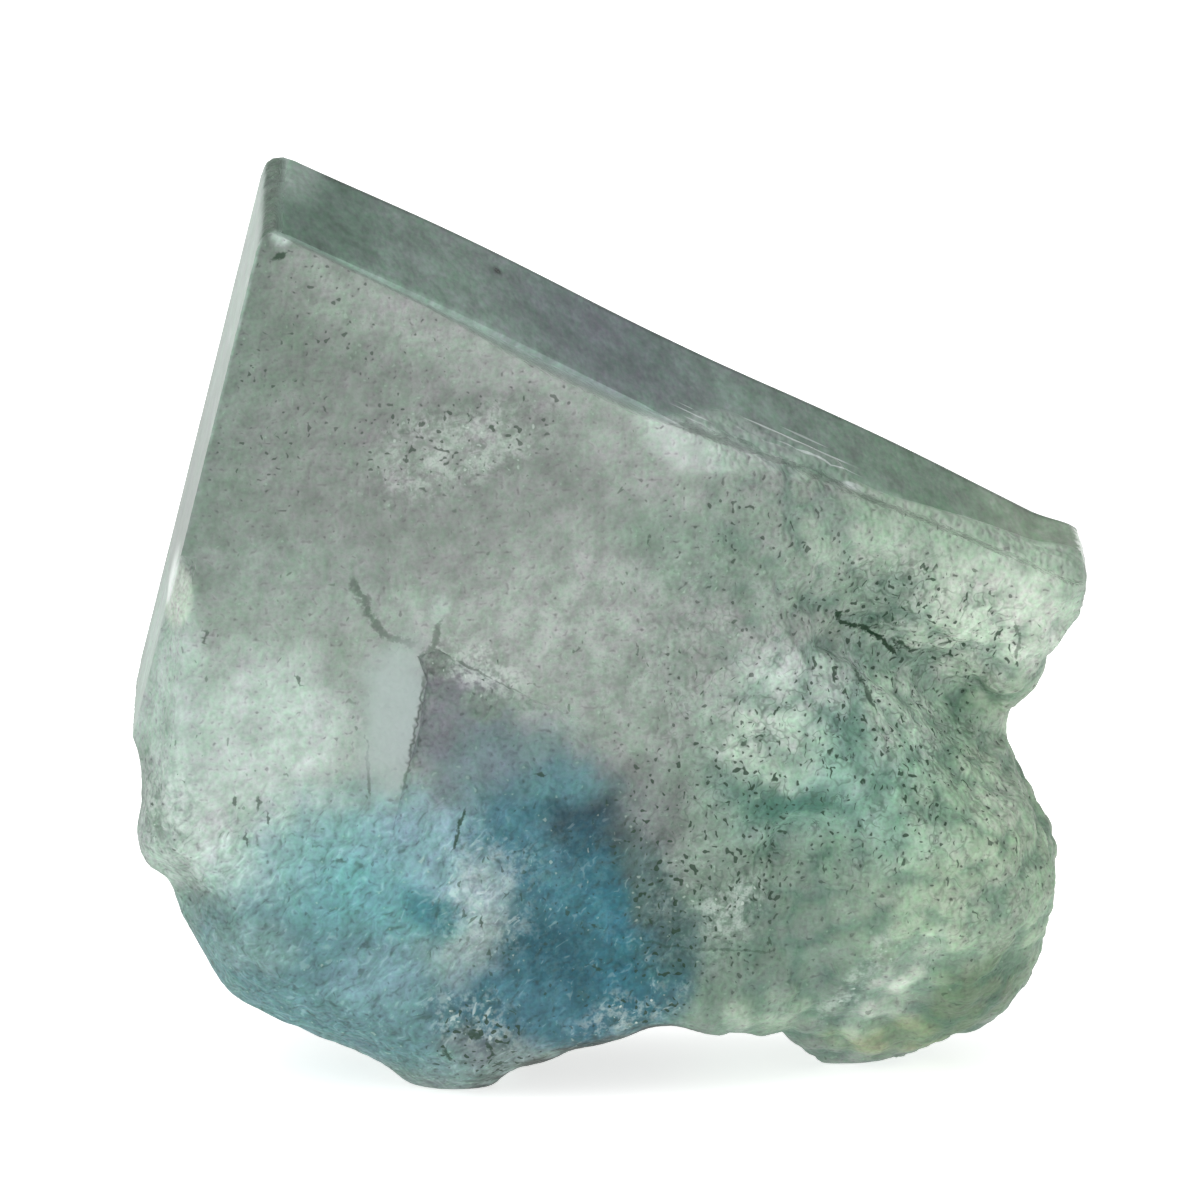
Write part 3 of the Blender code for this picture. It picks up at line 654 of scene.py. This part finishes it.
# Where the front edge is worn round, where the shoulder has few knobs, and where ridges run.
WORN_EDGE = ((16.5, -8.0, 31.2), (8.4, 4.0, 2.6), 23.0)
EVEN_SHOULDER = ((20.0, -1.0, 29.5), (9.5, 14.0, 3.6), 20.0, 0.7)
RIDGED_TERRACE = ((16.5, -2.5, 25.4), (6.0, 8.0, 3.2), 25.0)


def flat_share(tree, place, depths, worn):
    """1 on what is left of the flat faces and 0 where the crystal is broken or worn."""
    x, y, _ = tree.split(place)
    flat = None
    for name, depth in depths.items():
        on_face = depth.ramp(0.02, 0.16, 1.0, 0.0)
        if name == "right":
            on_face = on_face * past_border(x, y).ramp(-0.6, 0.0)
        if name == "front":
            on_face = on_face * (1.0 - worn)
        flat = on_face if flat is None else flat.larger(on_face)
    return flat


def blurred(tree, value, kind, rounds, weight):
    """A value of a kind, evened out along the skin in a number of rounds."""
    return tree.add("GeometryNodeBlurAttribute", {"data_type": kind},
                    {"Value": value, "Iterations": rounds, "Weight": weight})


def knobbly(tree, place, bent, given):
    """The knobs' height, mostly on the right half, and the gullies between them, which get painted shade."""
    x = tree.split(place)[0]
    away = tree.cells(bent, given["Knob Size"])
    uneven = 1.0 - tree.zone(place, *EVEN_SHOULDER)
    between = away.ramp(0.45, 0.75) * x.ramp(3.0, 10.0, 0.2, 1.0) * uneven
    knobs = (0.45 - away * away) * given["Knob Height"] * x.ramp(3.0, 10.0, 0.3, 1.2) * uneven
    return knobs, between


def broken_height(tree, place, knobs, given):
    """The height of a break in millimetres: lumps, hackles, knobs, cleavage steps and ridges."""
    x, y, z = tree.split(place)
    lumps = (tree.noise(place, given["Lump Size"], 1.0) - 0.5) * 2.0 * given["Lump Height"]
    hackles = tree.noise(tree.drawn_out(place, 23.0, (2.2, 1.0, 1.0)), given["Hackle Size"], 3.0, 0.55, 0.3)
    hackles = (hackles - 0.5).size() * -2.0 * given["Hackle Height"]
    steps = (y + 3.0 * tree.noise(place, 3.0, 2.0)) / given["Step Spacing"]
    steps = (steps.math("FRACT") - 0.5) * given["Step Height"] * y.ramp(-4.0, 0.0)
    ridges = (z + 0.35 * x + 2.0 * tree.noise(place, 2.2, 2.0)) / given["Ridge Spacing"]
    ridges = (ridges.math("FRACT") - 0.5).size() * given["Ridge Height"] * 4.0
    ridges = ridges * tree.zone(place, *RIDGED_TERRACE)
    return lumps + hackles + knobs + steps + ridges


def relief_tree():
    """The Geometry Nodes tree that raises the crystal's natural surface and stores its colour."""
    group = bpy.data.node_groups.new("crystal relief", "GeometryNodeTree")
    group.interface.new_socket("Geometry", in_out="INPUT", socket_type="NodeSocketGeometry")
    group.interface.new_socket("Geometry", in_out="OUTPUT", socket_type="NodeSocketGeometry")
    for name in RELIEF_SIZES:
        group.interface.new_socket(name, in_out="INPUT", socket_type="NodeSocketFloat")
    tree = Tree(group)
    solid = tree.add("NodeGroupInput", {}, {}, "Geometry")
    given = {name: tree.other(solid, name) for name in RELIEF_SIZES}
    at = tree.add("GeometryNodeInputPosition", {}, {})
    place = tree.scaled(at, 1.0 / MM)
    x, y, z = tree.split(place)
    depths = face_depths(tree, place)
    worn = tree.zone(place, *WORN_EDGE)
    broken = 1.0 - flat_share(tree, place, depths, worn)

    # The solid's facets are smoothed away where the crystal is broken, and its front edge is worn.
    smooth = blurred(tree, at, "FLOAT_VECTOR", 10, broken * x.ramp(-21.0, -18.0, 0.25, 0.9))
    smooth = blurred(tree, smooth, "FLOAT_VECTOR", 90, worn * 0.95)
    skin = tree.add("GeometryNodeSetPosition", {}, {"Geometry": solid, "Position": smooth})

    # Heights in millimetres.
    soft_broken = blurred(tree, broken, "FLOAT", 3, 1.0)
    bent = tree.vector("ADD", place, tree.noise(place, 2.5, 2.0, colour=True))
    knobs, between = knobbly(tree, place, bent, given)
    groove = near_line(tree, bent, VALLEY_LINE, 1.0) * y.ramp(0.0, 3.0, 1.0, 0.0) * given["Groove Depth"]
    height = broken_height(tree, place, knobs, given) * soft_broken - groove
    for middle, radii, turn, bulge in BULGES.values():
        height = height + tree.zone(place, middle, radii, turn, bulge, 0.9)
    waves = (tree.noise(place, 7.0, 2.0) - 0.5) * 2.0 * given["Growth Wave"]
    height = height + waves * (1.0 - soft_broken)

    # The soles stay flat on the table.
    normal = tree.add("GeometryNodeInputNormal", {}, {})
    lift = tree.scaled(normal, height * MM * z.ramp(0.02, 0.6))
    skin = tree.add("GeometryNodeSetPosition", {}, {"Geometry": skin, "Offset": lift})
    skin = store_paint(tree, skin, place, depths, soft_broken, between)
    shown = tree.add("GeometryNodeRealizeInstances", {}, {"Geometry": skin})
    finished = tree.add("GeometryNodeSetMaterial", {}, {"Geometry": shown, "Material": barite})
    tree.add("NodeGroupOutput", {}, {"Geometry": finished})
    return group


# Barite as it is seen close up. Growth alone left the prism faces smooth and glossy, the front is
# faintly rough and the breaks are dull. Grain, dark specks, hair cracks and white bits fill it all.

barite = bpy.data.materials.new("barite")

# Colours, and the sizes in millimetres of the fine texture's lumps.
SPECK_AND_SHADOW_GREEN = (0, 48, 20)
BIT_AND_GLINT_WHITE = (206, 216, 210)
STREAK_WHITE = (206, 216, 214)
EDGE_SHADE_GREY = (92, 108, 102)
GRIT_SIZE = 0.42
DOT_SIZE = 0.28
SILK_SIZE = 0.34
DASH_SIZE = 0.26
WEB_SIZE = 0.9
TOWARD_LIGHT = (-0.06, 0.0, 0.08)
SILK_TURN = -48.0

# The crisp edge of the lilac facet's flake: its foot in X and Z, and how far it leans.
FLAKE_FOOT = (-10.88, 17.7)
FLAKE_LEAN = 0.19

BARITE_IOR = 1.637


def stored(tree, name, output="Vector"):
    """What the skin's points hold under a name."""
    return tree.add("ShaderNodeAttribute", {"attribute_name": name}, {}, output)


def fine_grain(tree, place, on_right):
    """The fields of the fine grain, which looks squeezed flat under the clear upper right face."""
    x, _, z = tree.split(place)
    crowd, cracked, whiteness = tree.split(stored(tree, "habit"))
    lively = crowd.larger(cracked).larger(whiteness).smaller(1.0)
    mottle, patchy, dirt = tree.split(stored(tree, "growth"))
    squeeze = tree.add("ShaderNodeCombineXYZ", {}, {0: 1.0, 1: 1.0 - 0.7 * on_right, 2: 1.0})
    seen = tree.vector("MULTIPLY", place, squeeze)
    grit = tree.noise(seen, GRIT_SIZE, 2.0, 0.75)
    blob = tree.noise(seen, DOT_SIZE, 0.0)
    lit = tree.noise(tree.vector("ADD", seen, TOWARD_LIGHT), DOT_SIZE, 0.0)
    lower_left = x.ramp(2.0, 5.0, 1.0, 0.0) * z.ramp(14.0, 19.0, 1.0, 0.0)
    drifting = tree.vector("MULTIPLY_ADD", stored(tree, "growth"), (2.2, 2.2, 2.2), place)
    silky = tree.noise(tree.drawn_out(drifting, SILK_TURN, (3.0, 1.0, 1.0)), SILK_SIZE, 1.0, 0.6)
    # Painted light and shade: each dot is lighter on its side toward the light, from a copy of the dots
    # shifted that way.
    fine = 1.0 + (grit - 0.5) * (0.72 + 0.18 * lively) + (lit - blob) * (0.30 + 0.15 * lively)
    fine = fine + (silky - 0.5) * 1.1 * lower_left
    tint = tree.scaled(tree.vector("MULTIPLY_ADD", blob, (0.36, 0.0, 0.28), (0.82, 1.0, 0.86)), fine)
    return {"crowd": crowd, "cracked": cracked, "whiteness": whiteness, "lively": lively,
            "mottle": mottle, "patchy": patchy, "clump": 0.45 * (dirt - 0.5), "grit": grit, "blob": blob,
            "lower left": lower_left, "drifting": drifting, "silky": silky, "tint": tint}


def white_bits_and_glints(grain):
    """Where white bits, painted glints as bright flecks, and silky threads lie."""
    whiteness, lower_left = grain["whiteness"], grain["lower left"]
    bits = (0.45 * grain["mottle"] + 0.55 * grain["grit"]).ramp(0.44, 0.66) * whiteness * 0.6
    # Painted glints: small bright flecks, most of them where the stone is white.
    flecks = grain["blob"].ramp(0.15, 0.24, 1.0, 0.0) * (0.14 + 0.10 * lower_left + 0.70 * whiteness)
    threads = grain["silky"].ramp(0.62, 0.74) * lower_left * (0.10 + 0.50 * whiteness)
    return bits.larger(flecks).larger(threads)


def dark_grains(tree, grain):
    """Where dark dots and dashes, hair cracks, dark spots and dark threads lie."""
    crowd, cracked, clump, blob = grain["crowd"], grain["cracked"], grain["clump"], grain["blob"]
    dots = (blob + clump + 0.10 * crowd).ramp(0.79, 0.86)
    streaky = tree.noise(tree.vector("MULTIPLY", grain["drifting"], (1.0, 1.0, 0.45)), DASH_SIZE, 0.0)
    dashes = (streaky - clump + 0.10 * cracked).ramp(0.80, 0.88)
    pits = dots.larger(dashes) * (0.46 + 0.42 * grain["lively"])
    web = (tree.noise(grain["drifting"], WEB_SIZE, 1.0, 0.6) - 0.5).size().ramp(0.008, 0.055, 1.0, 0.0)
    web = web * cracked * (grain["patchy"] - clump).ramp(0.40, 0.54)
    spots = grain["grit"].ramp(0.58, 0.76) * (0.22 + 0.25 * crowd.smaller(1.0))
    threads = grain["silky"].ramp(0.26, 0.38, 1.0, 0.0) * grain["lower left"] * 0.28
    dark = pits.larger(web * 0.42).larger(spots).larger(blob.ramp(0.66, 0.80) * 0.26)
    return dark.larger(threads)


def drawn_marks(tree, place, grit):
    """The cracks and single specks that the skin's points hold, with ragged sides."""
    offset, width, strength = tree.split(stored(tree, "mark"))
    ragged = (offset.size() / width) + 3.0 * (grit - 0.5)
    front_half = tree.split(place)[1].ramp(1.0, 3.0, 1.0, 0.0)
    return ragged.ramp(0.3, 1.0, 1.0, 0.0) * strength * front_half


def flake_and_rim_shadow(tree, place, blob):
    """The lilac facet, and painted shadow along the crisp edge of its flake, as a dark line."""
    x, _, z = tree.split(place)
    facet = stored(tree, "facet", "Fac")
    inside = (z - FLAKE_FOOT[1]) * FLAKE_LEAN + FLAKE_FOOT[0] - x + 0.4 * (blob - 0.5)
    # Painted shadow: a dark line at the foot of the flake's raised edge.
    rim_shadow = (inside + 0.06).size().ramp(0.02, 0.10, 0.55, 0.0)
    return inside.ramp(-0.02, 0.12) * facet, rim_shadow * facet


def with_clear_faces(tree, place, colour, tint, on_right, on_left, past, beyond):
    """Lays the clear faces' own colours on, painted shade along their rounded edge, and white streaks by the
    lower border.
    """
    x = tree.split(place)[0]
    band = (1.0 - beyond) * x.ramp(11.7, 12.5, 0.5, 0.0)
    face = tree.vector("MULTIPLY", stored(tree, "face", "Color"), tint)
    colour = tree.mixed((on_right * (beyond * 0.95 + band)).larger(on_left * 0.95), colour, face)
    # Painted shade: where the clear face rounds into the front, the colour is darkened.
    edge = (on_right * (1.0 - on_right)).ramp(0.0, 0.25, 0.0, 0.25) * x.ramp(4.0, 8.0, 1.0, 0.0)
    colour = tree.mixed(edge, colour, linear(*EDGE_SHADE_GREY))
    streak = tree.noise(tree.drawn_out(place, RIGHT_FACE_DIP, (4.5, 0.5, 1.0)), 1.0, 0.0)
    near_border = past.size().ramp(0.5, 3.5, 1.0, 0.0) * x.ramp(2.0, 4.0) * x.ramp(12.0, 13.5, 1.0, 0.0)
    return tree.mixed(streak.ramp(0.64, 0.70) * near_border * on_right * 0.85, colour, linear(*STREAK_WHITE))


def paint_barite():
    """The barite's material, on the crystal's own coordinates in millimetres."""
    barite.use_nodes = True
    barite.node_tree.nodes.clear()
    tree = Tree(barite.node_tree)
    place = tree.scaled(tree.add("ShaderNodeTexCoord", {}, {}, "Object"), 1.0 / MM)
    x, y, z = tree.split(place)
    depths = face_depths(tree, place)
    rounding = x.ramp(-10.0, -4.0, 0.30, 0.75) - x.ramp(1.0, 4.0, 0.0, 0.40)
    on_right = (depths["right"] / rounding).ramp(0.1, 1.0, 1.0, 0.0)
    on_left = depths["left"].ramp(0.05, 0.22, 1.0, 0.0) * z.ramp(26.4, 26.9)
    past = past_border(x, y)
    beyond = (past / x.ramp(8.0, 11.5, 1.2, 0.2)).ramp(-1.0, 1.0)
    smooth = (on_right ** 3.0 * beyond).larger(on_left * 0.2)

    grain = fine_grain(tree, place, on_right)
    colour = tree.vector("MULTIPLY", stored(tree, "stone", "Color"), grain["tint"])
    colour = tree.mixed(white_bits_and_glints(grain), colour, linear(*BIT_AND_GLINT_WHITE))
    flake, rim_shadow = flake_and_rim_shadow(tree, place, grain["blob"])
    # The dark grains and marks are the stone's own; the flake's edge line is painted shadow.
    dark = dark_grains(tree, grain).larger(rim_shadow).larger(drawn_marks(tree, place, grain["grit"]))
    colour = tree.mixed(dark * (1.0 - 0.9 * smooth), colour, linear(*SPECK_AND_SHADOW_GREEN))
    colour = tree.mixed(flake * 0.75, colour, linear(*SHADES["lilac"]))
    colour = with_clear_faces(tree, place, colour, grain["tint"], on_right, on_left, past, beyond)

    uneven = stored(tree, "uneven", "Fac")
    rough = (0.38 + 0.14 * grain["mottle"] + 0.14 * uneven) * (1.0 - 0.55 * smooth)
    height = (0.34 * grain["mottle"] - 0.18 * grain["blob"]) * uneven + 0.04 * flake
    raised = tree.add("ShaderNodeBump", {}, {"Height": height, "Strength": 1.0, "Distance": MM})
    shader = tree.add("ShaderNodeBsdfPrincipled", {}, {
        "Base Color": colour, "Roughness": rough, "Normal": raised, "IOR": BARITE_IOR,
        "Specular IOR Level": 0.3, "Subsurface Weight": 0.10, "Subsurface Radius": (1.0, 1.0, 1.0),
        "Subsurface Scale": 0.0008})
    tree.add("ShaderNodeOutputMaterial", {}, {"Surface": shader})


paint_barite()

SHARP_EDGE = 38.0

relief = crystal.modifiers.new("relief", "NODES")
relief.node_group = relief_tree()
for item in relief.node_group.interface.items_tree:
    if item.in_out == "INPUT" and item.name in RELIEF_SIZES:
        relief[item.identifier] = RELIEF_SIZES[item.name]
settle(crystal, relief)
crystal.data.shade_smooth()
crystal.data.set_sharp_from_angle(angle=math.radians(SHARP_EDGE))
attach(crystal, "root")
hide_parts("barite_crystal")

# The table: a plain pale floor, which glows a little, so that it looks white as in a cut-out.

FLOOR_SIZE = 20.0
FLOOR_FINISH = {
    "Base Color": (0.88, 0.88, 0.88, 1.0), "Roughness": 0.9, "Specular IOR Level": 0.1,
    "Emission Color": (1.0, 1.0, 1.0, 1.0), "Emission Strength": 0.68,
}

bpy.ops.mesh.primitive_plane_add(size=FLOOR_SIZE)
floor = bpy.context.object
floor.name = "floor"
pale = bpy.data.materials.new("pale table")
pale.use_nodes = True
for title, value in FLOOR_FINISH.items():
    pale.node_tree.nodes["Principled BSDF"].inputs[title].default_value = value
floor.data.materials.append(pale)

# The light: soft boxes above and in front, in a dim room that is brighter above and behind.

ROOM_DIM = 0.12
ROOM_GLOW = 0.50


def soft_light(name, place, target, size, watts):
    """A square area light at a place, turned to a target."""
    light = bpy.data.lights.new(name, "AREA")
    light.shape = "SQUARE"
    light.size = size
    light.energy = watts
    lamp = bpy.data.objects.new(name, light)
    bpy.context.scene.collection.objects.link(lamp)
    lamp.location = place
    lamp.rotation_euler = (Vector(target) - Vector(place)).to_track_quat("-Z", "Y").to_euler()


soft_light("overhead", place=(-0.25, -0.25, 1.1), target=(0.0, 0.0, 0.0), size=1.3, watts=7.7)
soft_light("front", place=(-0.7, -1.0, 0.5), target=(0.0, 0.0, 0.02), size=1.0, watts=1.8)

world = bpy.data.worlds.new("dim room")
world.use_nodes = True
room = Tree(world.node_tree)
toward = room.add("ShaderNodeTexCoord", {}, {}, "Generated")
_, behind, above = room.split(toward)
glow = above.ramp(0.25, 0.7, 0.0, ROOM_GLOW).larger((behind * -1.0).ramp(0.1, 0.8, 0.0, ROOM_GLOW))
grey = glow + ROOM_DIM
shine = room.add("ShaderNodeCombineColor", {}, {0: grey, 1: grey, 2: grey})
world.node_tree.nodes["Background"].inputs["Strength"].default_value = 1.0
world.node_tree.links.new(shine.socket, world.node_tree.nodes["Background"].inputs["Color"])
bpy.context.scene.world = world
bpy.context.scene.view_settings.view_transform = "Standard"

# The camera looks along +Y, a little down, from far enough away for almost no perspective.

CAMERA_DISTANCE = 1.2
CAMERA_ELEVATION = 15.0
VIEW_WIDTH = 0.06316
AIM = Vector((-0.00063, 0.0, 0.02534))

camera = bpy.data.cameras.new("camera")
camera.sensor_width = 36.0
camera.lens = 36.0 * CAMERA_DISTANCE / VIEW_WIDTH
camera.clip_end = 20.0
eye = bpy.data.objects.new("camera", camera)
bpy.context.scene.collection.objects.link(eye)
tilt = math.radians(CAMERA_ELEVATION)
eye.location = AIM + Vector((0.0, -math.cos(tilt), math.sin(tilt))) * CAMERA_DISTANCE
eye.rotation_euler = (AIM - eye.location).to_track_quat("-Z", "Y").to_euler()
bpy.context.scene.camera = eye
